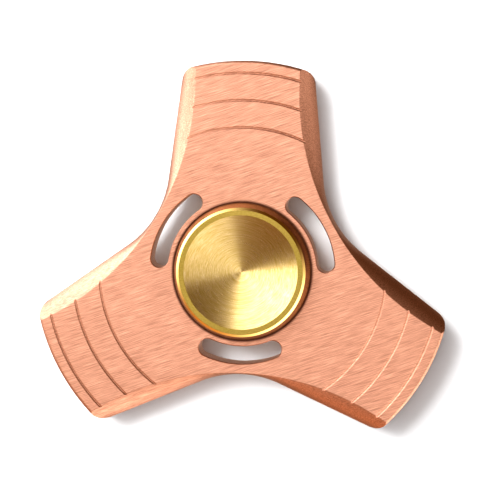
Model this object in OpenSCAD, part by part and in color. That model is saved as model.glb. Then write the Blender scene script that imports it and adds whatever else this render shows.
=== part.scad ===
// Three-arm fidget spinner with a ball bearing and two finger caps.
// Millimetres. The spin axis is Z, the origin is at mid thickness, and one arm lies along +Y.

/* [Body] */
// Radius of the arm ends about the spin axis
tip_radius = 32.2; // [31:0.1:34]
// Thickness of the body
body_thickness = 6; // [5.4:0.1:6.4]
// Half width of an arm's flat face, between its side bevels
flat_half_width = 8; // [7.4:0.1:8.6]
// Half width of an arm at its end, over the bevels
arm_half_width = 9.9; // [9.4:0.1:10.3]
// Growth of the half width for each millimetre towards the hub
side_flare = 0.112; // [0.08:0.004:0.128]
// Radius of the corners of an arm's end, seen from above
corner_radius = 2.4; // [1.6:0.1:3]
// Distance from the spin axis to the bottom of the valley between two arms
valley_reach = 16; // [15.6:0.1:17]
// Width of the bevel at the bottom of the valley
valley_bevel = 0.4; // [0.2:0.1:0.6]
// Half height of the upright band that runs round the edge
side_land = 0.5; // [0.3:0.1:0.8]

/* [Arc grooves] */
// Radius of the groove nearest the hub
groove_radius = 22; // [20:0.1:23]
// Distance from one groove to the next
groove_pitch = 4.15; // [2:0.05:4.2]
// Number of grooves on each arm
groove_count = 3; // [1:1:3]
// Width of a groove at the surface
groove_width = 0.4; // [0.2:0.05:0.6]
// Depth of a groove
groove_depth = 0.12; // [0.08:0.01:0.3]

/* [Hub slots] */
// Inner radius of the curved slots
slot_inner_radius = 11.5; // [11.2:0.1:12]
// Outer radius of the curved slots
slot_outer_radius = 14.2; // [13.4:0.1:14.4]
// Angle from the middle of a slot to the centre of its round end
slot_half_angle = 23; // [15:1:26]

/* [Finger caps] */
// Height over both caps
total_height = 12.8; // [12.2:0.1:14]
// Radius of a cap at its base, next to the body
cap_base_radius = 10.5; // [10:0.1:10.9]
// Radius of a cap at the top of its side
cap_rim_radius = 9.87; // [9.6:0.01:9.98]
// Width of the chamfer between the side and the rim
rim_chamfer = 0.4; // [0.2:0.05:0.5]
// Radius of the dish that the finger rests in
dish_radius = 8.7; // [8:0.1:9]
// Depth of the dish at its centre
dish_depth = 2; // [0.8:0.1:2]
// Gap between a cap and the body
cap_gap = 0.3; // [0.2:0.05:0.5]
// Clear ring round a cap's base, where the body is recessed below it
recess_margin = 0.2; // [0.1:0.01:0.25]
// Depth of that recess
recess_depth = 0.4; // [0.1:0.05:0.4]

/* [Bearing] */
// Bore of the inner race, across
bearing_bore = 6.35; // [6.35]
// Outer race, across
bearing_outer = 12.7; // [12.7]
// Width of the bearing
bearing_width = 4.762; // [4.762]
// Ball, across
ball_diameter = 1.5875; // [1.5875]

/* [Cap stud] */
// Stud that joins the two caps, across
stud_diameter = 4; // [3:0.5:4]
// Length of the stud
stud_length = 6.4; // [5:0.2:6.6]

/* [Hidden] */

// Finishes
copper = [0.93, 0.66, 0.52];
brass = [0.80, 0.68, 0.28];
steel = [0.72, 0.73, 0.75];
dark_steel = [0.35, 0.35, 0.37];

// The object has three arms and ten balls
arm_count = 3;
ball_count = 10;
fine = 96;
small = 48;

// Derived sizes of the body
half_body = body_thickness / 2;
edge_drop = half_body - side_land;
bisector = [cos(30), sin(30)];
side_normal = [1, side_flare] / norm([1, side_flare]);
side_down = [side_flare, -1] / norm([1, side_flare]);
side_top = [arm_half_width, tip_radius];
valley_radius = (valley_reach * (bisector * side_normal) - side_top * side_normal)
    / (1 - bisector * side_normal);
valley_centre = (valley_reach + valley_radius) * bisector;
crease_reach = valley_reach - valley_bevel;
crease_radius = (crease_reach * cos(30) - flat_half_width) / (1 - cos(30));
crease_centre = (crease_reach + crease_radius) * bisector;
corner_centre = first_hit(side_top - side_normal * corner_radius, side_down,
    [0, 0], tip_radius - corner_radius);
corner_start = corner_centre * tip_radius / norm(corner_centre);
corner_end = corner_centre + side_normal * corner_radius;
valley_start = valley_centre - valley_radius * side_normal;

// How far out across the bevel each ring lies: 0 is the crease, 1 the edge of the outline
steps_out = [-0.15, 0.27, 0.6, 0.86, 1.05];
overrun = 3;
tip_steps = 7;
line_steps = 4;
valley_steps = 7;

// Derived sizes of the bearing
pitch_radius = (bearing_bore + bearing_outer) / 4;
ball_radius = ball_diameter / 2;
track_radius = ball_radius + 0.035;
half_bearing = bearing_width / 2;
inner_shoulder = pitch_radius - 0.52;
outer_shoulder = pitch_radius + 0.54;
recess_radius = outer_shoulder + 0.5;
recess_z = half_bearing - 0.56;
shield_thickness = 0.18;
wire_radius = 0.13;
wire_z = recess_z + shield_thickness + wire_radius + 0.005;
body_bore = bearing_outer / 2 + 0.005;

// Derived sizes of the caps
half_height = total_height / 2;
cap_base_z = half_body + cap_gap;
stem_radius = bearing_bore / 2 - 0.01;
boss_radius = inner_shoulder - 0.12;
stud_hole = stud_diameter / 2 + 0.02;
dish_steps = 8;

// Helpers

// First point where a line from a along d enters the circle (c, r)
function first_hit(a, d, c, r) =
    let (g = a - c, b = (g * d) / (d * d), k = (g * g - r * r) / (d * d))
    a - d * (b + sqrt(max(0, b * b - k)));

// Drop of the bevel below the flat face, a fraction f of the way across it
function bevel_drop(f) = edge_drop * (0.48 * f + 0.184 * pow(f, 2) + 0.336 * pow(f, 4));

// Width of the bevel at the edge point s whose outward normal is u
function bevel_width(s, u) =
    let (
        w = (s[0] - flat_half_width) / u[0],
        g = s - crease_centre,
        b = g * u
    )
    s[1] - w * u[1] >= crease_centre[1] ? w : b + sqrt(b * b - g * g + pow(crease_radius, 2));

// Point a fraction f of the way across the bevel, at the edge point s
function across(s, u, f) = s - u * bevel_width(s, u) * (1 - f);

// Height above the hub of the arm's end at x, with its rounded corner
function end_y(x) =
    x <= corner_start[0] ? sqrt(tip_radius * tip_radius - x * x)
    : corner_centre[1] + sqrt(max(0, pow(corner_radius, 2) - pow(x - corner_centre[0], 2)));

// One side of an arm at fraction f across the bevel, from its end corner to the valley's middle
function half_edge(f) =
    concat(
        [for (i = [0 : line_steps])
            across(corner_end + (valley_start - corner_end) * i / line_steps, side_normal, f)],
        [for (i = [1 : valley_steps])
            let (
                t = atan(side_flare) + (30 - atan(side_flare)) * i / valley_steps,
                u = [cos(t), sin(t)]
            )
            across(valley_centre - valley_radius * u, u, f)]
    );

// Half of one arm's outline, from the middle of its end to the valley's middle
function half_outline() =
    concat(
        [for (i = [0 : tip_steps - 1])
            let (x = corner_end[0] * sin(90 * i / tip_steps))
            [x, end_y(x)]],
        half_edge(1)
    );

// Half of one arm's ring at fraction f, carried straight on past the arm's end
function half_ring(f) =
    concat(
        [[0, tip_radius + overrun], across(side_top - side_down * overrun, side_normal, f)],
        half_edge(f)
    );

// A half mirrored and repeated for the three arms, clockwise from above
function around(half) =
    let (n = len(half))
    [for (k = [0 : arm_count - 1])
        for (i = [1 - n : n - 2])
            let (p = i < 0 ? [-half[-i][0], half[-i][1]] : half[i], a = -120 * k)
            [cos(a) * p[0] - sin(a) * p[1], sin(a) * p[0] + cos(a) * p[1]]];

// One curved slot as an outline, centred on the angle mid
function slot_outline(mid) =
    let (
        rm = (slot_inner_radius + slot_outer_radius) / 2,
        w = (slot_outer_radius - slot_inner_radius) / 2,
        a0 = mid - slot_half_angle,
        a1 = mid + slot_half_angle
    )
    concat(
        [for (i = [0 : 15]) slot_outer_radius * turn(a0 + (a1 - a0) * i / 15)],
        [for (i = [1 : 9]) rm * turn(a1) + w * turn(a1 + 18 * i)],
        [for (i = [0 : 15]) slot_inner_radius * turn(a1 - (a1 - a0) * i / 15)],
        [for (i = [1 : 9]) rm * turn(a0) + w * turn(a0 + 180 + 18 * i)]
    );

// Unit vector at the angle a
function turn(a) = [cos(a), sin(a)];

// Solid between the side bevels: a stack of rings joined by faces
module bevel_solid() {
    rings = concat(
        [for (i = [0 : len(steps_out) - 1]) [steps_out[i], half_body - bevel_drop(steps_out[i])]],
        [for (i = [len(steps_out) - 1 : -1 : 0])
            [steps_out[i], bevel_drop(steps_out[i]) - half_body]]
    );
    count = len(around(half_ring(0)));
    points = [for (r = rings) for (p = around(half_ring(r[0]))) [p[0], p[1], r[1]]];
    sides = [for (j = [0 : len(rings) - 2])
        for (i = [0 : count - 1])
            let (a = j * count, b = a + count, n = (i + 1) % count)
            each [[a + i, b + n, a + n], [a + i, b + i, b + n]]];
    top = [for (i = [0 : count - 1]) i];
    bottom = [for (i = [count - 1 : -1 : 0]) (len(rings) - 1) * count + i];
    polyhedron(points, concat([top, bottom], sides), convexity = 6);
}

// Body before any hole is cut: the outline's prism, kept where it lies between the bevels
module body_shell() {
    intersection() {
        linear_extrude(height = body_thickness, center = true)
        polygon(around(half_outline()));
        bevel_solid();
    }
}

// Groove of V section round the spin axis, cut into the face at height z, side +1 or -1
module groove(radius, side) {
    mirror([0, 0, side > 0 ? 0 : 1])
    rotate_extrude($fn = fine)
    polygon([
        [radius - groove_width, half_body + groove_depth],
        [radius, half_body - groove_depth],
        [radius + groove_width, half_body + groove_depth]
    ]);
}

// Shallow recess under a cap with the lead-in of the bore below it, side +1 or -1
module hub_recess(side) {
    floor_z = half_body - recess_depth;
    r = cap_base_radius + recess_margin;
    mirror([0, 0, side > 0 ? 0 : 1])
    rotate_extrude($fn = fine)
    polygon([
        [0, floor_z - 0.25],
        [body_bore, floor_z - 0.25],
        [body_bore + 0.25, floor_z],
        [r, floor_z],
        [r, half_body + 1],
        [0, half_body + 1]
    ]);
}

// The three-arm copper body
module spinner_body() {
    color(copper)
    difference() {
        body_shell();
        cylinder(h = body_thickness + 2, r = body_bore, center = true, $fn = fine);
        hub_recess(1);
        hub_recess(-1);
        for (k = [0 : arm_count - 1])
            translate([0, 0, -half_body - 1])
            linear_extrude(height = body_thickness + 2)
            polygon(slot_outline(30 + 120 * k));
        for (i = [0 : groove_count - 1]) {
            groove(groove_radius + groove_pitch * i, 1);
            groove(groove_radius + groove_pitch * i, -1);
        }
    }
}

// Ring that the balls roll inside, with a recess for a shield at each face
module bearing_outer_race() {
    r = bearing_outer / 2;
    h = half_bearing;
    color(steel)
    rotate_extrude($fn = fine)
    difference() {
        polygon([
            [outer_shoulder, -recess_z],
            [recess_radius, -recess_z],
            [recess_radius, -recess_z - 0.16],
            [recess_radius + 0.12, -recess_z - 0.16],
            [recess_radius + 0.12, -recess_z - 0.46],
            [recess_radius, -recess_z - 0.46],
            [recess_radius, -h],
            [r - 0.2, -h],
            [r, -h + 0.2],
            [r, h - 0.2],
            [r - 0.2, h],
            [recess_radius, h],
            [recess_radius, recess_z + 0.46],
            [recess_radius + 0.12, recess_z + 0.46],
            [recess_radius + 0.12, recess_z + 0.16],
            [recess_radius, recess_z + 0.16],
            [recess_radius, recess_z],
            [outer_shoulder, recess_z]
        ]);
        translate([pitch_radius, 0]) circle(r = track_radius, $fn = small);
    }
}

// Ring that the balls roll on, held between the two caps
module bearing_inner_race() {
    r = bearing_bore / 2;
    h = half_bearing;
    color(steel)
    rotate_extrude($fn = fine)
    difference() {
        polygon([
            [r, -h + 0.12],
            [r + 0.12, -h],
            [inner_shoulder - 0.1, -h],
            [inner_shoulder, -h + 0.1],
            [inner_shoulder, h - 0.1],
            [inner_shoulder - 0.1, h],
            [r + 0.12, h],
            [r, h - 0.12]
        ]);
        translate([pitch_radius, 0]) circle(r = track_radius, $fn = small);
    }
}

// Ball number i of the ten, counted anticlockwise from +X
module ball(i) {
    color(steel)
    rotate([0, 0, 360 * (i - 1) / ball_count])
    translate([pitch_radius, 0, 0])
    sphere(r = ball_radius, $fn = small);
}

// Crown cage that spaces the balls: a ring with a snap pocket for each one
module ball_cage() {
    color(dark_steel)
    difference() {
        rotate_extrude($fn = fine)
        translate([pitch_radius - 0.34, -0.5])
        square([0.68, 1.6]);
        for (i = [0 : ball_count - 1])
            rotate([0, 0, 360 * i / ball_count])
            translate([pitch_radius, 0, 0])
            sphere(r = ball_radius + 0.06, $fn = small);
    }
}

// Pressed washer that closes one face of the bearing, side +1 or -1
module shield(side) {
    color(steel)
    mirror([0, 0, side > 0 ? 0 : 1])
    rotate_extrude($fn = fine)
    polygon([
        [inner_shoulder + 0.12, recess_z - 0.12],
        [outer_shoulder - 0.25, recess_z - 0.12],
        [outer_shoulder - 0.05, recess_z],
        [recess_radius - 0.03, recess_z],
        [recess_radius - 0.03, recess_z + shield_thickness],
        [outer_shoulder - 0.1, recess_z + shield_thickness],
        [outer_shoulder - 0.3, recess_z + shield_thickness - 0.12],
        [inner_shoulder + 0.12, recess_z + shield_thickness - 0.12]
    ]);
}

// Open wire ring that holds a shield in its recess, side +1 or -1
module snap_ring(side) {
    color(dark_steel)
    mirror([0, 0, side > 0 ? 0 : 1])
    rotate([0, 0, 20])
    rotate_extrude(angle = 320, $fn = fine)
    translate([recess_radius - 0.02, wire_z])
    circle(r = wire_radius, $fn = 24);
}

// Turned finger cap: dished face, tapered side, and a stem that fills half of the race's bore
module cap(side) {
    rim_inner = dish_radius;
    rim_outer = cap_rim_radius - rim_chamfer;
    color(brass)
    mirror([0, 0, side > 0 ? 0 : 1])
    rotate_extrude($fn = fine)
    polygon(concat(
        [
            [stud_hole, 0.05],
            [stem_radius - 0.15, 0.05],
            [stem_radius, 0.2],
            [stem_radius, half_bearing],
            [boss_radius, half_bearing],
            [boss_radius, cap_base_z],
            [cap_base_radius - 0.15, cap_base_z],
            [cap_base_radius, cap_base_z + 0.15],
            [cap_rim_radius, half_height - rim_chamfer],
            [rim_outer, half_height]
        ],
        [for (i = [dish_steps : -1 : 0])
            let (q = i / dish_steps)
            [rim_inner * q, half_height - dish_depth * (1 - 0.5 * q - 0.5 * q * q)]],
        [[0, stud_length / 2 + 0.1], [stud_hole, stud_length / 2 + 0.1]]
    ));
}

// Headless stud with a hex socket, joining the two caps through the bearing
module cap_stud() {
    r = stud_diameter / 2;
    h = stud_length / 2;
    color(dark_steel)
    difference() {
        rotate_extrude($fn = small)
        polygon([[0, -h], [r - 0.3, -h], [r, -h + 0.3], [r, h - 0.3], [r - 0.3, h], [0, h]]);
        translate([0, 0, h - 1.5])
        cylinder(h = 2, r = stud_diameter * 0.29, $fn = 6);
    }
}

spinner_body();
bearing_outer_race();
bearing_inner_race();
ball(1);  // ball_01
ball(2);  // ball_02
ball(3);  // ball_03
ball(4);  // ball_04
ball(5);  // ball_05
ball(6);  // ball_06
ball(7);  // ball_07
ball(8);  // ball_08
ball(9);  // ball_09
ball(10);  // ball_10
ball_cage();
shield(1);  // shield_upper
shield(-1);  // shield_lower
snap_ring(1);  // snap_ring_upper
snap_ring(-1);  // snap_ring_lower
cap(1);  // upper_cap
cap(-1);  // lower_cap
cap_stud();
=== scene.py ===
"""Three-arm fidget spinner of brushed copper with turned brass finger caps.

Sizes in the classes are millimetres. Meshes are written in metres, in the frame's own axes:
the spin axis is Z, the origin is at mid thickness and one arm lies along +Y.
"""

import sys

import logging
import math
from dataclasses import dataclass
from enum import Enum
from typing import Any, Iterable, Sequence

import bmesh
import bpy
import numpy as np
from mathutils import Matrix, Vector

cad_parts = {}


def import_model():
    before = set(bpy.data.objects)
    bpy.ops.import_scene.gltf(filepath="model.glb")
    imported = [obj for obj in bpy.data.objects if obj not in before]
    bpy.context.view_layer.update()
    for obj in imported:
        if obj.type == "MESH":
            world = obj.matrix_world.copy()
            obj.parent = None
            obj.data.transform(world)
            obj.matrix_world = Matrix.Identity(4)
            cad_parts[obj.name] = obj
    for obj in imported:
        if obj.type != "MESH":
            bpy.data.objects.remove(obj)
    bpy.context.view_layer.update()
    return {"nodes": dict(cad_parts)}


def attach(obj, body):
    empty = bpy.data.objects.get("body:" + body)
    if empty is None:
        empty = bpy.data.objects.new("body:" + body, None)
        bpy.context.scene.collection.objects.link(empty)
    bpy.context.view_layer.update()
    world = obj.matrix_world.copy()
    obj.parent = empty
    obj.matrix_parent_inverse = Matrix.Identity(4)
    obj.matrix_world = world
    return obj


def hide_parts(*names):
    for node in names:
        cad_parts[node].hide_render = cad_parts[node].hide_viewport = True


LOG = logging.getLogger("spinner")
MM = 0.001
WELD = 0.002 * MM
FLATTEN = (1.0, 1.0, 0.0)
GRAIN_SHARE, HAIR_SHARE = 0.6, 0.4
HAIR_SIZE = 0.4
COLOUR_SPAN = (0.34, 0.66)
GLOSS_SPAN = (0.3, 0.7)

Colour = tuple[float, float, float]
Point = tuple[float, float]
Point3 = tuple[float, float, float]


class Side(Enum):
    """The two faces of the spinner, as the sign of Z."""

    UPPER = 1
    LOWER = -1


class Grain(Enum):
    """How a metal surface was worked."""

    BRUSHED = "straight lines from a belt"
    TURNED = "rings from a lathe"
    FINE = "an even grain with no direction"


class CapZone(Enum):
    """The zones of a finger cap, each with its own finish, in the order of its materials."""

    DISH = 0
    RIM = 1
    CHAMFER = 2
    FLANK = 3


class NodeGraph:
    """A node tree that is filled with one call for each node."""

    def __init__(self, tree: bpy.types.NodeTree) -> None:
        """Takes the tree to fill and empties it."""
        self.tree = tree
        tree.nodes.clear()

    def add(self, kind: str, inputs: dict[Any, Any] | None = None, **settings: Any) -> bpy.types.Node:
        """Adds a node.

        Args:
            kind: The node's type.
            inputs: A value or a socket to link, for each input by name or number.
            **settings: The node's own properties.

        Returns:
            The new node.
        """
        node = self.tree.nodes.new(kind)
        for name, value in settings.items():
            setattr(node, name, value)
        for key, value in (inputs or {}).items():
            if isinstance(value, bpy.types.NodeSocket):
                self.tree.links.new(value, node.inputs[key])
            else:
                node.inputs[key].default_value = value
        return node

    def maths(self, operation: str, a: Any, b: Any = 0.0) -> bpy.types.NodeSocket:
        """Adds a Math node.

        Args:
            operation: The node's operation.
            a: First value or socket.
            b: Second value or socket.

        Returns:
            The node's output socket.
        """
        return self.add("ShaderNodeMath", {0: a, 1: b}, operation=operation).outputs[0]

    def vector(self, operation: str, a: Any, b: Any = (0.0, 0.0, 0.0)) -> bpy.types.NodeSocket:
        """Adds a Vector Math node with two vector inputs.

        Args:
            operation: The node's operation.
            a: First vector or socket.
            b: Second vector or socket.

        Returns:
            The vector output, or the value output for a length or a dot product.
        """
        node = self.add("ShaderNodeVectorMath", {0: a, 1: b}, operation=operation)
        return node.outputs["Value" if operation in ("LENGTH", "DOT_PRODUCT") else "Vector"]


class ShapeTree:
    """A geometry tree with named inputs, run on a mesh and turned into a plain mesh."""

    name = "shape"
    sizes: dict[str, str] = {}

    def __init__(self) -> None:
        """Makes the tree with its inputs and lets the subclass fill it."""
        self.tree = bpy.data.node_groups.new(self.name, "GeometryNodeTree")
        face = self.tree.interface
        face.new_socket(name="Geometry", in_out="INPUT", socket_type="NodeSocketGeometry")
        for label, kind in self.sizes.items():
            face.new_socket(name=label, in_out="INPUT", socket_type=kind)
        face.new_socket(name="Weld", in_out="INPUT", socket_type="NodeSocketFloat")
        face.new_socket(name="Finish", in_out="INPUT", socket_type="NodeSocketMaterial")
        face.new_socket(name="Geometry", in_out="OUTPUT", socket_type="NodeSocketGeometry")
        graph = NodeGraph(self.tree)
        given = graph.add("NodeGroupInput").outputs
        shape = self.fill(graph, given)
        whole = graph.add("GeometryNodeRealizeInstances", {"Geometry": shape}).outputs[0]
        welded = graph.add("GeometryNodeMergeByDistance", {"Geometry": whole, "Distance": given["Weld"]})
        dressed = graph.add(
            "GeometryNodeSetMaterial", {"Geometry": welded.outputs[0], "Material": given["Finish"]}
        )
        graph.add("NodeGroupOutput", {"Geometry": dressed.outputs[0]})

    def fill(self, graph: NodeGraph, given: Any) -> bpy.types.NodeSocket:
        """Adds the nodes that make the shape.

        Args:
            graph: The tree's graph.
            given: The group's input sockets by name.

        Returns:
            The socket of the finished geometry.
        """
        raise NotImplementedError

    def run(
        self, source: bpy.types.Mesh, finish: bpy.types.Material | None, **sizes: float
    ) -> bpy.types.Mesh:
        """Runs the tree on a mesh.

        Args:
            source: The mesh that the tree starts from. It is removed.
            finish: The material for the result.
            **sizes: A value for each named input.

        Returns:
            The result as a plain mesh.
        """
        holder = bpy.data.objects.new(self.name, source)
        bpy.context.scene.collection.objects.link(holder)
        modifier = holder.modifiers.new(self.name, "NODES")
        modifier.node_group = self.tree
        values = {**sizes, "Weld": WELD, "Finish": finish}
        for item in self.tree.interface.items_tree:
            if item.in_out == "INPUT" and item.name in values:
                modifier[item.identifier] = values[item.name]
        return bake(holder)


class TurnedShape(ShapeTree):
    """Turns a profile in the XZ plane round the Z axis."""

    name = "turned_shape"
    sizes = {"Segments": "NodeSocketInt"}

    def fill(self, graph: NodeGraph, given: Any) -> bpy.types.NodeSocket:
        """Lays a grid with one row for each profile point and bends it round the axis.

        Args:
            graph: The tree's graph.
            given: The group's input sockets by name.

        Returns:
            The socket of the turned surface.
        """
        rows = graph.add("GeometryNodeAttributeDomainSize", {0: given["Geometry"]}).outputs["Point Count"]
        grid = graph.add(
            "GeometryNodeMeshGrid",
            {"Vertices X": graph.maths("ADD", given["Segments"], 1.0), "Vertices Y": rows},
        )
        index = graph.add("GeometryNodeInputIndex").outputs[0]
        row = graph.maths("MODULO", index, rows)
        column = graph.maths("FLOOR", graph.maths("DIVIDE", index, rows))
        angle = graph.maths("DIVIDE", graph.maths("MULTIPLY", column, 2 * math.pi), given["Segments"])
        place = graph.add("GeometryNodeInputPosition").outputs[0]
        sampled = graph.add("GeometryNodeSampleIndex", data_type="FLOAT_VECTOR", domain="POINT")
        graph.tree.links.new(given["Geometry"], sampled.inputs["Geometry"])
        graph.tree.links.new(place, sampled.inputs["Value"])
        graph.tree.links.new(row, sampled.inputs["Index"])
        profile = graph.add("ShaderNodeSeparateXYZ", {0: sampled.outputs[0]}).outputs
        turned = graph.add(
            "ShaderNodeCombineXYZ",
            {
                "X": graph.maths("MULTIPLY", profile["X"], graph.maths("COSINE", angle)),
                "Y": graph.maths("MULTIPLY", profile["X"], graph.maths("SINE", angle)),
                "Z": profile["Z"],
            },
        )
        return graph.add(
            "GeometryNodeSetPosition", {"Geometry": grid.outputs["Mesh"], "Position": turned.outputs[0]}
        ).outputs[0]


class RepeatedRound(ShapeTree):
    """Repeats a shape at even steps round the Z axis."""

    name = "repeated_round"
    sizes = {"Count": "NodeSocketInt"}

    def fill(self, graph: NodeGraph, given: Any) -> bpy.types.NodeSocket:
        """Puts one instance on each of a few points, each turned further than the last.

        Args:
            graph: The tree's graph.
            given: The group's input sockets by name.

        Returns:
            The socket of the instances.
        """
        points = graph.add("GeometryNodeMeshLine", {"Count": given["Count"], "Offset": (0.0, 0.0, 0.0)})
        index = graph.add("GeometryNodeInputIndex").outputs[0]
        step = graph.maths("DIVIDE", 2 * math.pi, given["Count"])
        turn = graph.add(
            "FunctionNodeAxisAngleToRotation",
            {"Axis": (0.0, 0.0, 1.0), "Angle": graph.maths("MULTIPLY", index, step)},
        )
        return graph.add(
            "GeometryNodeInstanceOnPoints",
            {"Points": points.outputs[0], "Instance": given["Geometry"], "Rotation": turn.outputs[0]},
        ).outputs[0]


def bake(holder: bpy.types.Object) -> bpy.types.Mesh:
    """Turns an object's evaluated shape into a plain mesh and removes the object.

    Args:
        holder: An object with live modifiers.

    Returns:
        The evaluated mesh.
    """
    graph = bpy.context.evaluated_depsgraph_get()
    mesh = bpy.data.meshes.new_from_object(holder.evaluated_get(graph))
    source = holder.data
    holder.modifiers.clear()
    bpy.data.objects.remove(holder)
    bpy.data.meshes.remove(source)
    return mesh


def raw_mesh(name: str, points: Iterable[Sequence[float]], faces: list, edges: list) -> bpy.types.Mesh:
    """Makes a mesh from millimetre points.

    Args:
        name: The mesh's name.
        points: X, Y and Z of each vertex, in millimetres.
        faces: Vertex numbers of each face.
        edges: Vertex numbers of each loose edge.

    Returns:
        The mesh, in metres.
    """
    mesh = bpy.data.meshes.new(name)
    mesh.from_pydata([tuple(c * MM for c in p) for p in points], edges, faces)
    return mesh


def profile_mesh(profile: Sequence[Point]) -> bpy.types.Mesh:
    """Makes a chain of edges in the XZ plane.

    Args:
        profile: Radius and height of each point, in millimetres.

    Returns:
        The chain as a mesh.
    """
    edges = [(i, i + 1) for i in range(len(profile) - 1)]
    return raw_mesh("profile", [(r, 0.0, z) for r, z in profile], [], edges)


def joined(meshes: Sequence[bpy.types.Mesh], name: str) -> bpy.types.Mesh:
    """Joins closed meshes into one, facing outwards, and removes the originals.

    Args:
        meshes: The meshes to join.
        name: The new mesh's name.

    Returns:
        The joined mesh.
    """
    work = bmesh.new()
    for mesh in meshes:
        work.from_mesh(mesh)
    bmesh.ops.recalc_face_normals(work, faces=work.faces)
    whole = bpy.data.meshes.new(name)
    work.to_mesh(whole)
    work.free()
    for mesh in meshes:
        bpy.data.meshes.remove(mesh)
    return whole


def carved(block: bpy.types.Mesh, cutter: bpy.types.Mesh) -> bpy.types.Mesh:
    """Cuts one closed mesh out of another.

    Args:
        block: The mesh that is cut. It is removed.
        cutter: The mesh that cuts. It is removed.

    Returns:
        What is left of the block.
    """
    tool = bpy.data.objects.new("cutter", cutter)
    holder = bpy.data.objects.new("block", block)
    for made in (tool, holder):
        bpy.context.scene.collection.objects.link(made)
    modifier = holder.modifiers.new("cut", "BOOLEAN")
    modifier.operation, modifier.solver, modifier.object = "DIFFERENCE", "EXACT", tool
    mesh = bake(holder)
    bpy.data.objects.remove(tool)
    bpy.data.meshes.remove(cutter)
    return mesh


def crisp(mesh: bpy.types.Mesh, limit: float, flat_height: float) -> None:
    """Shades a mesh smooth with sharp edges at its corners and round its flat faces.

    Args:
        mesh: The mesh to shade.
        limit: Angle between faces, in degrees, above which an edge is sharp.
        flat_height: Height above mid thickness of the flat faces, in millimetres.
    """
    work = bmesh.new()
    work.from_mesh(mesh)
    level = flat_height * MM - 1e-6

    def is_flat(face: bmesh.types.BMFace) -> bool:
        """True for a face that lies in one of the two flat faces."""
        return all(abs(v.co.z) > level for v in face.verts)

    for face in work.faces:
        face.smooth = True
    for edge in work.edges:
        if len(edge.link_faces) == 2:
            a, b = edge.link_faces
            edge.smooth = edge.calc_face_angle(0.0) < math.radians(limit) and is_flat(a) == is_flat(b)
    work.to_mesh(mesh)
    work.free()


def eased(profile: Sequence[tuple[float, float, float]], steps: int = 4) -> list[Point]:
    """Rounds the corners of a profile and gives each rounding a short straight lead.

    Args:
        profile: Radius, height and corner radius of each point.
        steps: Number of straight pieces in a rounded corner.

    Returns:
        The rounded profile.
    """
    out: list[Point] = []
    for i, (r, z, ease) in enumerate(profile):
        here = Vector((r, z))
        if not ease or i in (0, len(profile) - 1):
            out.append((r, z))
            continue
        back, on = Vector(profile[i - 1][:2]) - here, Vector(profile[i + 1][:2]) - here
        half = back.angle(on) / 2
        reach = min(ease / math.tan(half), 0.4 * min(back.length, on.length))
        start, end = here + back.normalized() * reach, here + on.normalized() * reach
        out.append(tuple(here + back.normalized() * reach * 1.4))
        for k in range(steps + 1):
            t = k / steps
            out.append(tuple(start * (1 - t) ** 2 + here * 2 * t * (1 - t) + end * t * t))
        out.append(tuple(here + on.normalized() * reach * 1.4))
    return out


def placed(mesh: bpy.types.Mesh, name: str, body: str, nodes: Sequence[str]) -> bpy.types.Object:
    """Makes a finished mesh a piece of the object.

    Args:
        mesh: The mesh, in the frame's axes.
        name: The piece's name.
        body: The body that the piece moves with.
        nodes: The frame's nodes that the piece stands for.

    Returns:
        The piece.
    """
    piece = bpy.data.objects.new(name, mesh)
    mesh.name = name
    bpy.context.scene.collection.objects.link(piece)
    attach(piece, body)
    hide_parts(*nodes)
    LOG.info("%s: %d faces, rides on %s", name, len(mesh.polygons), body)
    return piece


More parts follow.
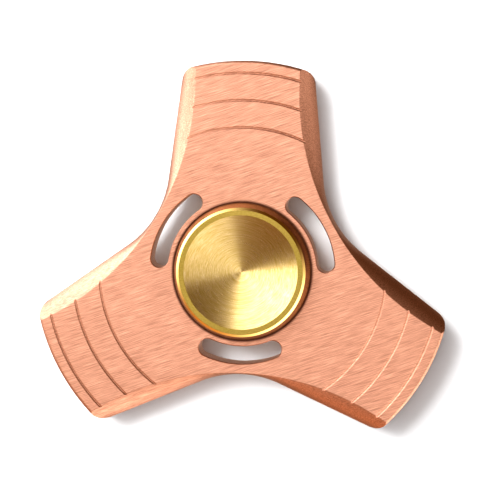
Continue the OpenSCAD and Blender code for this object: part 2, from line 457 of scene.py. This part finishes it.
@dataclass(frozen=True)
class MetalFinish:
    """A worked metal surface: its colours, gloss and grain, and, where set, a painted shade ring round the
    axis.
    """

    name: str
    light: Colour
    dark: Colour
    gloss: tuple[float, float]
    grain: Grain
    grain_length: float
    grain_width: float
    anisotropy: float = 0.0
    angle: float = 0.0
    relief: float = 0.1
    relief_depth: float = 0.01
    patch_size: float = 9.0
    patch_depth: float = 0.25
    # Painted shade: the colour, start radius, fade width and strength of a dark ring round the axis that
    # stands for the shade in the cap's crevice.
    crevice_shade: Colour = (0.09, 0.03, 0.015)
    crevice_shade_radius: float = 0.0
    crevice_shade_fade: float = 0.35
    crevice_shade_depth: float = 0.85

    def build(self) -> bpy.types.Material:
        """Makes the material.

        Returns:
            A metal whose colour, gloss and relief follow its grain.
        """
        material = bpy.data.materials.new(self.name)
        material.use_nodes = True
        graph = NodeGraph(material.node_tree)
        place = graph.add("ShaderNodeTexCoord").outputs["Object"]
        grain = self.noise(graph, self.grain_space(graph, place, 1.0), 3.0)
        hair = self.noise(graph, self.grain_space(graph, place, HAIR_SIZE), 2.0)
        spread = graph.vector("MULTIPLY", place, (1 / (self.patch_size * MM),) * 3)
        patch = self.noise(graph, spread, 2.0)
        lines = graph.maths(
            "ADD", graph.maths("MULTIPLY", grain, GRAIN_SHARE), graph.maths("MULTIPLY", hair, HAIR_SHARE)
        )
        worn = graph.maths(
            "ADD",
            graph.maths("MULTIPLY", lines, 1 - self.patch_depth),
            graph.maths("MULTIPLY", patch, self.patch_depth),
        )
        shade = self.mapped(graph, worn, COLOUR_SPAN, (0.0, 1.0))
        colour = self.mixed(graph, shade, (*self.dark, 1.0), (*self.light, 1.0))
        # Painted shade: the colour darkens in a ring just outside the cap, where the cap shades the copper.
        if self.crevice_shade_radius:
            colour = self.painted_crevice_shade(graph, place, colour)
        gloss = self.mapped(graph, lines, GLOSS_SPAN, (self.gloss[1], self.gloss[0]))
        bump = graph.add(
            "ShaderNodeBump",
            {"Height": lines, "Strength": self.relief, "Distance": self.relief_depth * MM},
        ).outputs[0]
        shader = graph.add(
            "ShaderNodeBsdfPrincipled",
            {
                "Base Color": colour,
                "Metallic": 1.0,
                "Roughness": gloss,
                "Normal": bump,
                "Anisotropic": self.anisotropy,
            },
        )
        if self.anisotropy:
            graph.tree.links.new(self.across_grain(graph, place), shader.inputs["Tangent"])
        graph.add("ShaderNodeOutputMaterial", {"Surface": shader.outputs[0]})
        return material

    def painted_crevice_shade(
        self, graph: NodeGraph, place: bpy.types.NodeSocket, colour: bpy.types.NodeSocket
    ) -> bpy.types.NodeSocket:
        """Paints shade into the metal's colour: a dark ring just outside the cap's crevice round the axis,
        where the cap shades the copper.

        Args:
            graph: The material's graph.
            place: The socket of the place on the piece.
            colour: The socket of the metal's own colour, before the painted shade.

        Returns:
            The socket of the colour with the painted shade.
        """
        reach = graph.vector("LENGTH", graph.vector("MULTIPLY", place, FLATTEN))
        edge = self.crevice_shade_radius * MM
        shade_share = self.mapped(graph, reach, (edge, edge + self.crevice_shade_fade * MM), (self.crevice_shade_depth, 0.0))
        return self.mixed(graph, shade_share, colour, (*self.crevice_shade, 1.0))

    @staticmethod
    def mapped(
        graph: NodeGraph, value: bpy.types.NodeSocket, given: tuple[float, float], wanted: tuple[float, float]
    ) -> bpy.types.NodeSocket:
        """Maps one span of a value to another.

        Args:
            graph: The material's graph.
            value: The socket of the value.
            given: The span of the value.
            wanted: The span of the result.

        Returns:
            The socket of the mapped value, held inside its span.
        """
        ends = {"From Min": given[0], "From Max": given[1], "To Min": wanted[0], "To Max": wanted[1]}
        return graph.add("ShaderNodeMapRange", {"Value": value, **ends}).outputs[0]

    @staticmethod
    def mixed(
        graph: NodeGraph, share: bpy.types.NodeSocket, first: Any, second: Any
    ) -> bpy.types.NodeSocket:
        """Mixes two colours.

        Args:
            graph: The material's graph.
            share: The socket of the second colour's share.
            first: First colour or socket.
            second: Second colour or socket.

        Returns:
            The socket of the mixed colour.
        """
        node = graph.add("ShaderNodeMix", {"Factor": share, "A": first, "B": second}, data_type="RGBA")
        return node.outputs["Result"]

    def grain_space(
        self, graph: NodeGraph, place: bpy.types.NodeSocket, share: float
    ) -> bpy.types.NodeSocket:
        """Stretches space along the grain.

        Args:
            graph: The material's graph.
            place: The socket of the place on the piece.
            share: Size of this layer of the grain against the whole grain.

        Returns:
            The socket of the stretched place.
        """
        length, width = self.grain_length * share * MM, self.grain_width * share * MM
        if self.grain is Grain.TURNED:
            flat = graph.vector("MULTIPLY", place, FLATTEN)
            ring = graph.maths("DIVIDE", graph.vector("LENGTH", flat), width)
            along = graph.vector("MULTIPLY", flat, (1 / length, 1 / length, 0.0))
            tall = graph.add("ShaderNodeSeparateXYZ", {0: place}).outputs["Z"]
            rise = graph.add(
                "ShaderNodeCombineXYZ", {"X": ring, "Z": graph.maths("DIVIDE", tall, width)}
            ).outputs[0]
            return graph.vector("ADD", along, rise)
        return graph.add(
            "ShaderNodeMapping",
            {
                "Vector": place,
                "Rotation": (0.0, 0.0, math.radians(self.angle)),
                "Scale": (length, width, width),
            },
            vector_type="TEXTURE",
        ).outputs[0]

    def across_grain(self, graph: NodeGraph, place: bpy.types.NodeSocket) -> bpy.types.NodeSocket:
        """Gives the direction across the grain lines, in which highlights stretch.

        Args:
            graph: The material's graph.
            place: The socket of the place on the piece.

        Returns:
            The socket of the direction.
        """
        turned = graph.add(
            "ShaderNodeVectorTransform", vector_type="VECTOR", convert_from="OBJECT", convert_to="WORLD"
        )
        if self.grain is Grain.TURNED:
            flat = graph.vector("MULTIPLY", place, FLATTEN)
            graph.tree.links.new(graph.vector("NORMALIZE", flat), turned.inputs[0])
        else:
            lean = math.radians(self.angle)
            turned.inputs[0].default_value = (-math.sin(lean), math.cos(lean), 0.0)
        return turned.outputs[0]

    @staticmethod
    def noise(graph: NodeGraph, space: bpy.types.NodeSocket, detail: float) -> bpy.types.NodeSocket:
        """Adds a noise over a stretched place.

        Args:
            graph: The material's graph.
            space: The socket of the place.
            detail: Number of finer layers.

        Returns:
            The socket of the noise, about 0 to 1.
        """
        return graph.add("ShaderNodeTexNoise", {"Vector": space, "Scale": 1.0, "Detail": detail}).outputs[0]


BRUSHED_COPPER = MetalFinish(
    name="brushed_copper",
    light=(0.73, 0.42, 0.31),
    dark=(0.36, 0.19, 0.135),
    gloss=(0.36, 0.48),
    grain=Grain.BRUSHED,
    grain_length=3.6,
    grain_width=0.12,
    anisotropy=0.3,
    angle=20.0,
    relief=0.8,
    relief_depth=0.03,
    patch_depth=0.05,
    # Painted shade: a dark ring just outside the finger cap's edge.
    crevice_shade_radius=10.65,
)
TURNED_BRASS = MetalFinish(
    name="turned_brass",
    light=(0.73, 0.59, 0.35),
    dark=(0.46, 0.33, 0.08),
    gloss=(0.25, 0.34),
    grain=Grain.TURNED,
    grain_length=1.3,
    grain_width=0.1,
    anisotropy=0.85,
    relief=0.1,
    relief_depth=0.004,
    patch_depth=0.1,
)
SATIN_BRASS = MetalFinish(
    name="satin_brass",
    light=(0.42, 0.32, 0.10),
    dark=(0.28, 0.21, 0.05),
    gloss=(0.34, 0.42),
    grain=Grain.FINE,
    grain_length=0.3,
    grain_width=0.2,
    relief=0.3,
    relief_depth=0.01,
)
POLISHED_BRASS = MetalFinish(
    name="polished_brass",
    light=(0.86, 0.66, 0.30),
    dark=(0.74, 0.54, 0.20),
    gloss=(0.12, 0.2),
    grain=Grain.TURNED,
    grain_length=3.0,
    grain_width=0.1,
    relief=0.08,
    relief_depth=0.004,
)
# Painted shade: a darker copy of the cap's own brass for its flank, standing in for the shaded copper that
# the flank mirrors.
SHADED_FLANK_BRASS = MetalFinish(
    name="shaded_flank_brass",
    light=(0.52, 0.34, 0.12),
    dark=(0.38, 0.23, 0.07),
    gloss=(0.16, 0.26),
    grain=Grain.TURNED,
    grain_length=3.0,
    grain_width=0.1,
    relief=0.08,
    relief_depth=0.004,
)
GROUND_STEEL = MetalFinish(
    name="ground_steel",
    light=(0.62, 0.62, 0.63),
    dark=(0.48, 0.48, 0.50),
    gloss=(0.16, 0.26),
    grain=Grain.TURNED,
    grain_length=2.0,
    grain_width=0.06,
    anisotropy=0.5,
    relief=0.1,
    relief_depth=0.003,
)
BALL_STEEL = MetalFinish(
    name="polished_ball_steel",
    light=(0.70, 0.70, 0.71),
    dark=(0.60, 0.60, 0.62),
    gloss=(0.04, 0.08),
    grain=Grain.FINE,
    grain_length=0.1,
    grain_width=0.1,
    relief=0.03,
    relief_depth=0.001,
)
PRESSED_STEEL = MetalFinish(
    name="pressed_steel",
    light=(0.56, 0.56, 0.57),
    dark=(0.44, 0.44, 0.45),
    gloss=(0.28, 0.4),
    grain=Grain.FINE,
    grain_length=0.25,
    grain_width=0.12,
    relief=0.15,
    relief_depth=0.004,
)
SPRING_STEEL = MetalFinish(
    name="spring_wire_steel",
    light=(0.34, 0.33, 0.33),
    dark=(0.24, 0.23, 0.23),
    gloss=(0.22, 0.32),
    grain=Grain.TURNED,
    grain_length=1.0,
    grain_width=0.05,
    relief=0.1,
    relief_depth=0.002,
)
BLACK_STEEL = MetalFinish(
    name="blackened_steel",
    light=(0.12, 0.12, 0.13),
    dark=(0.06, 0.06, 0.07),
    gloss=(0.32, 0.46),
    grain=Grain.FINE,
    grain_length=0.2,
    grain_width=0.2,
    relief=0.2,
    relief_depth=0.004,
)


@dataclass
class CopperBody:
    """The three-arm copper body with its side bevels, slots and arc grooves."""

    turner: TurnedShape
    repeater: RepeatedRound
    tip_radius: float = 32.18
    thickness: float = 6.0
    flat_half_width: float = 8.0
    arm_half_width: float = 9.88
    side_flare: float = 0.112
    corner_radius: float = 2.4
    valley_reach: float = 16.0
    valley_bevel: float = 0.4
    side_land: float = 0.5
    end_round: float = 0.5
    end_round_drop: float = 0.5
    crease_round: float = 0.04
    crease_steps: int = 4
    bevel_steps: int = 16
    bevel_spacing: float = 1.15
    bevel_curve: tuple[float, float, float] = (0.48, 0.184, 0.336)
    groove_radius: float = 22.0
    groove_pitch: float = 4.15
    groove_count: int = 3
    groove_width: float = 0.4
    groove_depth: float = 0.12
    groove_floor: float = 0.08
    slot_inner: float = 11.5
    slot_outer: float = 14.2
    slot_half_angle: float = 23.0
    slot_round: float = 0.12
    slot_lap: float = 0.02
    slot_side_steps: int = 36
    slot_end_steps: int = 20
    bore_radius: float = 6.355
    recess_radius: float = 10.7
    recess_depth: float = 0.4
    bore_lead: float = 0.25
    overrun: float = 0.6
    sharp_angle: float = 24.0
    arms: int = 3
    tip_steps: int = 40
    line_steps: int = 24
    valley_steps: int = 32
    round_segments: int = 288

    def __post_init__(self) -> None:
        """Works out the arcs that the outline is made of."""
        self.half = self.thickness / 2
        self.normal = np.array([1.0, self.side_flare]) / math.hypot(1.0, self.side_flare)
        down = np.array([self.side_flare, -1.0]) / math.hypot(1.0, self.side_flare)
        top = np.array([self.arm_half_width, self.tip_radius])
        bisector = np.array([math.cos(math.pi / 6), 0.5])
        lean = float(bisector @ self.normal)
        self.valley_radius = (self.valley_reach * lean - float(top @ self.normal)) / (1 - lean)
        self.valley_centre = (self.valley_reach + self.valley_radius) * bisector
        reach = self.valley_reach - self.valley_bevel
        self.crease_radius = (reach * bisector[0] - self.flat_half_width) / (1 - bisector[0])
        self.crease_centre = (reach + self.crease_radius) * bisector
        self.corner_centre = self.first_hit(
            top - self.normal * self.corner_radius, down, np.zeros(2), self.tip_radius - self.corner_radius
        )
        self.corner_end = self.corner_centre + self.normal * self.corner_radius
        self.valley_start = self.valley_centre - self.valley_radius * self.normal

    @staticmethod
    def first_hit(start: np.ndarray, way: np.ndarray, centre: np.ndarray, radius: float) -> np.ndarray:
        """Finds where a line enters a circle.

        Args:
            start: A point of the line.
            way: The line's direction.
            centre: The circle's centre.
            radius: The circle's radius.

        Returns:
            The first point of the line on the circle.
        """
        gap = start - centre
        b = float(gap @ way) / float(way @ way)
        k = (float(gap @ gap) - radius**2) / float(way @ way)
        return start - way * (b + math.sqrt(max(0.0, b * b - k)))

    def drop(self, share: float) -> float:
        """Gives the bevel's drop below the flat face.

        Args:
            share: Way across the bevel, 0 at the crease and 1 at the edge.

        Returns:
            The drop in millimetres, with the crease itself rounded.
        """
        depth = self.half - self.side_land
        first, second, fourth = self.bevel_curve
        if share <= self.crease_round:
            steep = first * depth / (4 * self.crease_round)
            return steep * (share + self.crease_round) ** 2
        return depth * (first * share + second * share**2 + fourth * share**4)

    def across(self, edge: np.ndarray, out: np.ndarray, share: float) -> np.ndarray:
        """Gives a point part of the way across the bevel.

        Args:
            edge: The point of the outline that the bevel starts from.
            out: The outline's outward normal there.
            share: Way across the bevel, 0 at the crease and 1 at the edge.

        Returns:
            The point, seen from above.
        """
        width = (edge[0] - self.flat_half_width) / out[0]
        if edge[1] - width * out[1] < self.crease_centre[1]:
            gap = edge - self.crease_centre
            b = float(gap @ out)
            width = b + math.sqrt(b * b - float(gap @ gap) + self.crease_radius**2)
        return edge - out * width * (1 - share)

    def half_ring(self, share: float, inset: float) -> list[np.ndarray]:
        """Gives one side of one arm's outline at a way across the bevel.

        Args:
            share: Way across the bevel, 0 at the crease and 1 at the edge.
            inset: How far the arm's end is drawn in.

        Returns:
            Points from the middle of the arm's end to the middle of the valley.
        """
        tip, corner = self.tip_radius - inset, self.corner_radius - inset
        tangent = self.corner_centre * tip / np.linalg.norm(self.corner_centre)
        reach = self.arm_half_width - self.flat_half_width
        start = np.array([self.flat_half_width, self.tip_radius + reach / self.side_flare])
        way = np.array([share, -1 / self.side_flare - (1 - share) * self.side_flare])
        met = self.first_hit(start, way, np.zeros(2), tip)
        if share == 1:
            met = self.corner_end
        elif met[0] > tangent[0]:
            met = self.first_hit(start, way, self.corner_centre, corner)
        ring = []
        for i in range(self.tip_steps):
            x = met[0] * math.sin(math.pi / 2 * i / self.tip_steps)
            if x <= tangent[0]:
                ring.append(np.array([x, math.sqrt(tip**2 - x * x)]))
            else:
                rise = math.sqrt(max(0.0, corner**2 - (x - self.corner_centre[0]) ** 2))
                ring.append(np.array([x, self.corner_centre[1] + rise]))
        ring.append(met)
        for i in range(1, self.line_steps + 1):
            edge = self.corner_end + (self.valley_start - self.corner_end) * i / self.line_steps
            ring.append(self.across(edge, self.normal, share))
        lean = math.atan(self.side_flare)
        for i in range(1, self.valley_steps + 1):
            turn = lean + (math.pi / 6 - lean) * i / self.valley_steps
            out = np.array([math.cos(turn), math.sin(turn)])
            ring.append(self.across(self.valley_centre - self.valley_radius * out, out, share))
        return ring

    def arm(self) -> bpy.types.Mesh:
        """Makes one arm and its third of the hub, open towards the other two.

        Returns:
            The arm as a mesh, closed above and below.
        """
        crease, steps = self.crease_round, self.bevel_steps
        shares = [-crease + crease * 2 * i / self.crease_steps for i in range(self.crease_steps + 1)]
        shares += [crease + (1 - crease) * (i / steps) ** self.bevel_spacing for i in range(1, steps + 1)]
        rings: list[list[tuple[float, float, float]]] = []
        for share in shares:
            fall = self.drop(share)
            rounding = min(1.0, fall / self.end_round_drop)
            inset = self.end_round * (1 - math.sqrt(1 - (1 - rounding) ** 2))
            half = self.half_ring(share, inset)
            whole = [(-p[0], p[1]) for p in half[:0:-1]] + [(p[0], p[1]) for p in half]
            rings.append([(x, y, self.half - fall) for x, y in whole])
        rings += [[(x, y, -z) for x, y, z in ring] for ring in reversed(rings)]
        count = len(rings[0])
        points = [p for ring in rings for p in ring]
        faces = [
            (j * count + i, j * count + i + 1, (j + 1) * count + i + 1, (j + 1) * count + i)
            for j in range(len(rings) - 1)
            for i in range(count - 1)
        ]
        above, below = len(points), len(points) + 1
        points += [(0.0, 0.0, self.half), (0.0, 0.0, -self.half)]
        last = (len(rings) - 1) * count
        faces += [(above, i + 1, i) for i in range(count - 1)]
        faces += [(below, last + i, last + i + 1) for i in range(count - 1)]
        return raw_mesh("arm", points, faces, [])

    def slot_cutter(self) -> bpy.types.Mesh:
        """Makes the cutter for one curved slot, flared where it leaves the body.

        Returns:
            A closed mesh round the middle angle between two arms.
        """
        middle, half_angle = math.pi / 6, math.radians(self.slot_half_angle)
        mean, width = (self.slot_inner + self.slot_outer) / 2, (self.slot_outer - self.slot_inner) / 2
        levels = [(self.half + 1.0, 1.0 + self.slot_round)]
        for turn in (0.0, 30.0, 60.0, 90.0):
            a = math.radians(turn)
            levels.append((self.half - self.slot_round * math.sin(a), self.slot_round * (1 - math.sin(a))))
        levels[1] = (self.half + self.slot_lap, self.slot_round + self.slot_lap)
        levels += [(-z, flare) for z, flare in reversed(levels)]
        rings = []
        for z, flare in levels:
            wide = width + min(flare, self.slot_round + self.slot_lap)
            ends = [(middle + half_angle, 0.0), (middle - half_angle, math.pi)]
            ring: list[tuple[float, float, float]] = []
            for k, (angle, start) in enumerate(ends):
                radius = mean + wide if k == 0 else mean - wide
                for i in range(self.slot_side_steps):
                    a = ends[1 - k][0] + (angle - ends[1 - k][0]) * i / self.slot_side_steps
                    ring.append((radius * math.cos(a), radius * math.sin(a), z))
                for i in range(self.slot_end_steps):
                    a = angle + start + math.pi * i / self.slot_end_steps
                    x, y = mean * math.cos(angle), mean * math.sin(angle)
                    ring.append((x + wide * math.cos(a), y + wide * math.sin(a), z))
            rings.append(ring)
        count = len(rings[0])
        faces: list = []
        for j in range(len(rings) - 1):
            here, above = j * count, (j + 1) * count
            for i in range(count):
                nearby = (i + 1) % count
                faces.append((here + i, above + i, above + nearby, here + nearby))
        faces += [tuple(range(count)), tuple(range((len(rings) - 1) * count, len(rings) * count))]
        return raw_mesh("slot", [p for ring in rings for p in ring], faces, [])

    def turned_cutters(self) -> list[bpy.types.Mesh]:
        """Makes the cutters for the bore and for the grooves on both faces.

        Returns:
            Closed meshes.
        """
        bore, floor, over = self.bore_radius, self.half - self.recess_depth, self.half + self.overrun
        half_bore = [(0.0, over), (self.recess_radius, over), (self.recess_radius, floor)]
        half_bore += [(bore + self.bore_lead, floor), (bore, floor - self.bore_lead)]
        profiles = [half_bore + [(r, -z) for r, z in reversed(half_bore)]]
        for i in range(self.groove_count):
            radius = self.groove_radius + self.groove_pitch * i
            inner, outer = radius - self.groove_floor / 2, radius + self.groove_floor / 2
            for side in Side:
                low = side.value * (self.half - self.groove_depth)
                high = side.value * (self.half + self.groove_depth)
                rim = (radius - self.groove_width, high)
                profiles.append([rim, (inner, low), (outer, low), (radius + self.groove_width, high), rim])
        return [self.turner.run(profile_mesh(p), None, Segments=self.round_segments) for p in profiles]

    def build(self, finish: bpy.types.Material) -> bpy.types.Object:
        """Builds the body and dresses it.

        Args:
            finish: The copper.

        Returns:
            The finished piece.
        """
        block = joined([self.repeater.run(self.arm(), finish, Count=self.arms)], "block")
        slots = self.repeater.run(self.slot_cutter(), None, Count=self.arms)
        mesh = carved(block, joined([slots, *self.turned_cutters()], "cutters"))
        crisp(mesh, self.sharp_angle, self.half)
        mesh.materials.clear()
        mesh.materials.append(finish)
        return placed(mesh, "copper_body", "rotor", ["spinner_body"])


@dataclass
class FingerCap:
    """One turned finger cap with its dish, rim, tapered side and stem."""

    turner: TurnedShape
    side: Side
    half_height: float = 6.4
    base_z: float = 3.3
    base_radius: float = 10.5
    rim_radius: float = 9.87
    rim_chamfer: float = 0.4
    dish_radius: float = 8.7
    dish_depth: float = 2.0
    boss_radius: float = 4.1225
    boss_z: float = 2.381
    stem_radius: float = 3.165
    stem_end: float = 0.05
    hole_radius: float = 2.02
    hole_end: float = 3.3
    rim_skin: float = 0.004
    dish_steps: int = 40
    segments: int = 288
    sharp_angle: float = 30.0
    above_all: float = 100.0

    def profile(self) -> list[Point]:
        """Gives the cap's outline from the middle of the dish round to the end of the stud's hole.

        Returns:
            Radius and height of each point, for the upper cap.
        """
        dish = []
        for i in range(self.dish_steps):
            q = i / self.dish_steps
            fall = self.dish_depth * (1 - 0.5 * q - 0.5 * q * q)
            dish.append((self.dish_radius * q, self.half_height - fall))
        rim = [
            (self.dish_radius, self.half_height, 0.07),
            (self.rim_radius - self.rim_chamfer, self.half_height, 0.06),
            (self.rim_radius, self.half_height - self.rim_chamfer, 0.08),
            (self.base_radius, self.base_z + 0.1, 0.06),
            (self.base_radius - 0.1, self.base_z, 0.0),
            (self.boss_radius, self.base_z, 0.0),
            (self.boss_radius, self.boss_z, 0.0),
            (self.stem_radius, self.boss_z, 0.0),
            (self.stem_radius, self.stem_end + 0.15, 0.0),
            (self.stem_radius - 0.15, self.stem_end, 0.0),
            (self.hole_radius, self.stem_end, 0.0),
            (self.hole_radius, self.hole_end, 0.0),
            (0.0, self.hole_end, 0.0),
        ]
        return dish + eased([(*dish[-1], 0.0), *rim])[1:]

    def zone(self, face: bpy.types.MeshPolygon) -> CapZone:
        """Tells which zone of the cap a face belongs to.

        Args:
            face: A face of the cap.

        Returns:
            The zone.
        """
        reach = math.hypot(face.center.x, face.center.y) / MM
        height = face.center.z * self.side.value / MM
        facing = face.normal.z * self.side.value
        if facing < 0.5 or height < self.half_height - self.dish_depth - 0.1:
            return CapZone.FLANK
        if reach > self.rim_radius - self.rim_chamfer:
            return CapZone.CHAMFER
        in_dish = reach < self.dish_radius and height < self.half_height - self.rim_skin
        return CapZone.DISH if in_dish else CapZone.RIM

    def build(self, finishes: dict[CapZone, bpy.types.Material]) -> bpy.types.Object:
        """Builds the cap and dresses its zones.

        Args:
            finishes: The finish of each zone.

        Returns:
            The finished piece.
        """
        outline = [(r, z * self.side.value) for r, z in self.profile()]
        turned = self.turner.run(profile_mesh(outline), finishes[CapZone.FLANK], Segments=self.segments)
        mesh = joined([turned], "cap")
        mesh.materials.clear()
        for zone in CapZone:
            mesh.materials.append(finishes[zone])
        for face in mesh.polygons:
            face.material_index = self.zone(face).value
        crisp(mesh, self.sharp_angle, self.above_all)
        label = self.side.name.lower()
        return placed(mesh, f"{label}_finger_cap", "hub", [f"{label}_cap"])


@dataclass
class BearingDress:
    """The finishes of the bearing's pieces and the stud, which keep the frame's own shapes."""

    nodes: dict[str, bpy.types.Object]

    def dress(self) -> None:
        """Gives each node the finish of its piece."""
        wear = {
            "bearing_outer_race": GROUND_STEEL,
            "bearing_inner_race": GROUND_STEEL,
            "ball_cage": PRESSED_STEEL,
            "ball_": BALL_STEEL,
            "shield_": PRESSED_STEEL,
            "snap_ring_": SPRING_STEEL,
            "cap_stud": BLACK_STEEL,
        }
        made = {finish.name: finish.build() for finish in wear.values()}
        for name, node in sorted(self.nodes.items()):
            finish = next((wear[key] for key in wear if name.startswith(key)), None)
            if finish is None:
                continue
            if not node.data.materials:
                node.data.materials.append(None)
            for i in range(len(node.data.materials)):
                node.data.materials[i] = made[finish.name]
            LOG.info("%s: %s", name, finish.name)


@dataclass(frozen=True)
class Panel:
    """A soft light panel. An aimed one faces the spinner and is not mirrored in its metal."""

    name: str
    place: Point3
    size: Point
    power: float
    turn: float = 0.0
    aimed: bool = False

    def hang(self) -> None:
        """Hangs the panel, facing straight down unless it is aimed."""
        light = bpy.data.lights.new(self.name, "AREA")
        light.shape, light.energy = "RECTANGLE", self.power
        light.size, light.size_y = self.size
        lamp = bpy.data.objects.new(self.name, light)
        lamp.location, lamp.rotation_euler = self.place, (0.0, 0.0, math.radians(self.turn))
        bpy.context.scene.collection.objects.link(lamp)
        if self.aimed:
            lamp.rotation_euler = (-lamp.location).to_track_quat("-Z", "Y").to_euler()
            lamp.visible_glossy = False


@dataclass
class Studio:
    """The plain floor, the soft lights and the camera."""

    floor_z: float = -6.42
    floor_size: float = 3000.0
    paper_dark: Colour = (0.64, 0.65, 0.66)
    paper_light: Colour = (0.67, 0.68, 0.69)
    fibre_scale: float = 900.0
    camera_place: Point3 = (29.4, 22.5, 400.0)
    camera_roll: float = -0.028
    lens: float = 187.6
    shift: tuple[float, float] = (0.0128, 0.0408)
    room_glow: float = 0.14
    room_colour: Colour = (1.0, 0.5, 0.12)
    lobes: tuple[tuple[Point3, float, float, Colour], ...] = (
        ((-0.87, 0.5, 0.0), 3.6, 4.0, (1.0, 1.0, 1.0)),
        ((0.72, -0.69, 0.0), 2.7, 3.5, (1.0, 0.95, 0.9)),
        ((-0.5, -0.87, 0.0), 0.6, 4.0, (1.0, 0.52, 0.28)),
        ((0.0, 0.0, -1.0), 0.3, 3.0, (1.0, 1.0, 1.0)),
    )
    panels: tuple[Panel, ...] = (
        Panel("main_panel", (-0.74, 0.50, 1.0), (1.52, 1.35), 12.9, 10.0),
        Panel("fill_panel", (0.69, -0.57, 1.0), (1.35, 1.32), 3.5, 6.0),
        Panel("streak_panel", (0.22, -0.82, 1.0), (1.2, 0.1), 1.7, 285.0),
        Panel("window_panel", (-0.45, 0.4, 1.15), (0.5, 0.5), 18.5, aimed=True),
        Panel("above_panel", (0.0, 0.0, 1.2), (0.6, 0.6), 3.9, aimed=True),
    )

    def floor(self) -> bpy.types.Object:
        """Lays the pale floor under the lower cap.

        Returns:
            The floor.
        """
        s = self.floor_size / 2
        corners = [(-s, -s), (s, -s), (s, s), (-s, s)]
        mesh = raw_mesh("floor", [(x, y, self.floor_z) for x, y in corners], [(0, 1, 2, 3)], [])
        paper = bpy.data.materials.new("pale_paper")
        paper.use_nodes = True
        graph = NodeGraph(paper.node_tree)
        place = graph.add("ShaderNodeTexCoord").outputs["Object"]
        fibre = graph.add(
            "ShaderNodeTexNoise", {"Vector": place, "Scale": self.fibre_scale, "Detail": 3.0}
        ).outputs[0]
        colour = graph.add(
            "ShaderNodeMix",
            {"Factor": fibre, "A": (*self.paper_dark, 1.0), "B": (*self.paper_light, 1.0)},
            data_type="RGBA",
        )
        shader = graph.add(
            "ShaderNodeBsdfPrincipled", {"Base Color": colour.outputs["Result"], "Roughness": 0.9}
        )
        clear = graph.add("ShaderNodeBsdfTransparent").outputs[0]
        from_below = graph.add("ShaderNodeNewGeometry").outputs["Backfacing"]
        one_way = graph.add("ShaderNodeMixShader", {0: from_below, 1: shader.outputs[0], 2: clear})
        graph.add("ShaderNodeOutputMaterial", {"Surface": one_way.outputs[0]})
        mesh.materials.append(paper)
        floor = bpy.data.objects.new("floor", mesh)
        bpy.context.scene.collection.objects.link(floor)
        floor.visible_glossy = False
        return floor

    def room(self) -> None:
        """Sets the surroundings: a dark room with a soft bright lobe in each of a few directions."""
        world = bpy.data.worlds.new("dim_room")
        world.use_nodes = True
        graph = NodeGraph(world.node_tree)
        way = graph.add("ShaderNodeTexCoord").outputs["Generated"]
        glow: Any = graph.add(
            "ShaderNodeBackground", {"Color": (*self.room_colour, 1.0), "Strength": self.room_glow}
        ).outputs[0]
        for direction, strength, tightness, colour in self.lobes:
            facing = graph.vector("DOT_PRODUCT", way, tuple(Vector(direction).normalized()))
            lobe = graph.maths("POWER", graph.maths("MAXIMUM", facing, 0.0), tightness)
            power = graph.maths("MULTIPLY", lobe, strength)
            part = graph.add("ShaderNodeBackground", {"Color": (*colour, 1.0), "Strength": power})
            glow = graph.add("ShaderNodeAddShader", {0: glow, 1: part.outputs[0]}).outputs[0]
        graph.add("ShaderNodeOutputWorld", {"Surface": glow})
        bpy.context.scene.world = world
        world.cycles_visibility.diffuse = False

    def camera(self) -> bpy.types.Object:
        """Sets the camera over the spinner, looking at its centre.

        Returns:
            The camera.
        """
        place = Vector(self.camera_place) * MM
        ahead = -place.normalized()
        right = ahead.cross(Vector((0.0, 1.0, 0.0))).normalized()
        up = right.cross(ahead)
        c, s = math.cos(self.camera_roll), math.sin(self.camera_roll)
        axes = Matrix((right * c - up * s, right * s + up * c, -ahead)).transposed()
        data = bpy.data.cameras.new("camera")
        data.lens, data.sensor_width = self.lens, 36.0
        data.shift_x, data.shift_y = self.shift
        data.clip_start, data.clip_end = 0.01, 10.0
        camera = bpy.data.objects.new("camera", data)
        camera.matrix_world = Matrix.Translation(place) @ axes.to_4x4()
        bpy.context.scene.collection.objects.link(camera)
        bpy.context.scene.camera = camera
        return camera

    def build(self) -> None:
        """Builds the floor, the lights and the camera, and sets how the picture is shown."""
        self.floor()
        for panel in self.panels:
            panel.hang()
        self.room()
        self.camera()
        view = bpy.context.scene.view_settings
        view.view_transform, view.look = "Standard", "High Contrast"
        view.exposure, view.gamma = 0.0, 1.0


def main() -> None:
    """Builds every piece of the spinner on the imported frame, and the studio round it."""
    logging.basicConfig(level=logging.INFO, format="%(name)s %(message)s", stream=sys.stdout)
    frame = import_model()
    turner, repeater = TurnedShape(), RepeatedRound()
    CopperBody(turner, repeater).build(BRUSHED_COPPER.build())
    # The flank's finish is painted shade: a darker copy of the cap's brass.
    cap_finishes = (TURNED_BRASS, SATIN_BRASS, POLISHED_BRASS, SHADED_FLANK_BRASS)
    brass = dict(zip(CapZone, (finish.build() for finish in cap_finishes)))
    for side in Side:
        FingerCap(turner, side).build(brass)
    BearingDress(frame["nodes"]).dress()
    Studio().build()


if __name__ == "__main__":
    main()
